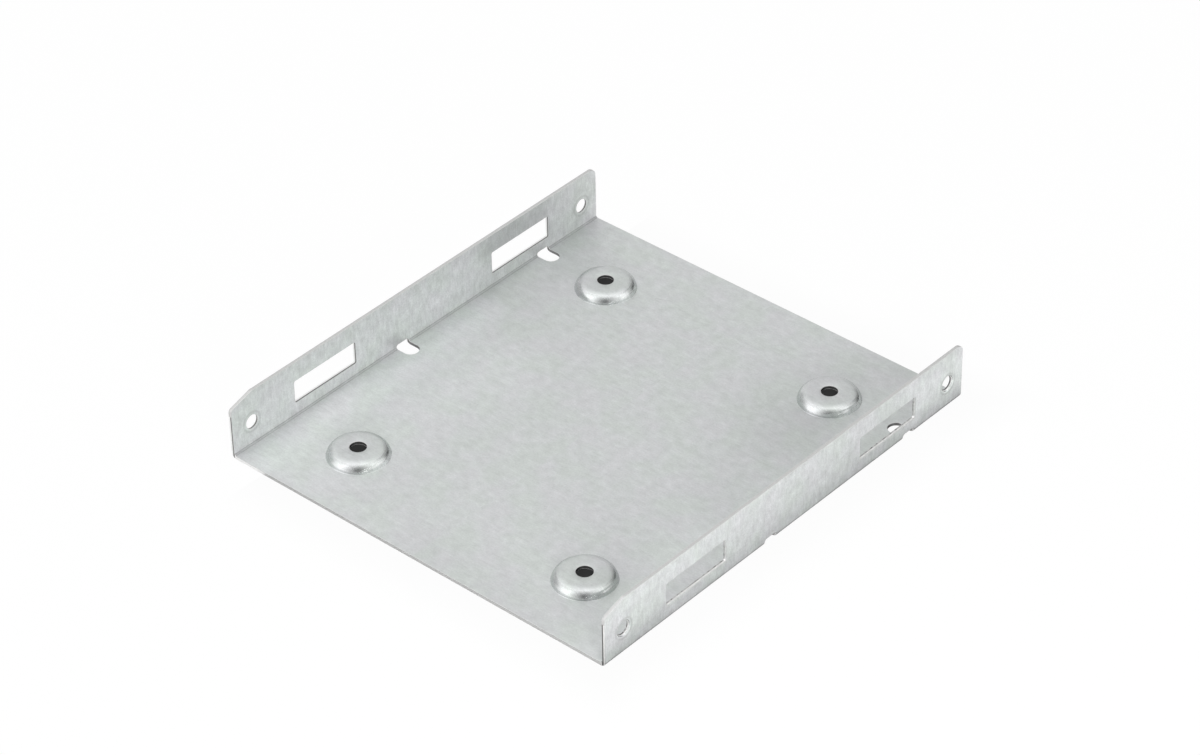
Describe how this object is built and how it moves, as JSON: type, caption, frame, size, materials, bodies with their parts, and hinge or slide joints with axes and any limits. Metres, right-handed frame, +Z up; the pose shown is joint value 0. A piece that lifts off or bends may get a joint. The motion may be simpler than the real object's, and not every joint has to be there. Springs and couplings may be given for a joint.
{
  "type": "drive bay adapter bracket",
  "caption": "Folded sheet-steel channel that carries a small drive on pressed bosses and screws into a bay made for a larger drive.",
  "frame": {"origin": "on the underside of the base, in the middle of the width and of the length", "axes": "+X across the channel to the right flange, +Y along it to the rear (connector) end, +Z up out of the channel"},
  "size_m": [0.1016, 0.112, 0.0139],
  "materials": {
    "zinc_coated_steel": "zinc-coated sheet, satin, with a fine mottle and rolling grain"
  },
  "bodies": {
    "root": {"adapter_bracket": "zinc_coated_steel"}
  },
  "joints": []
}
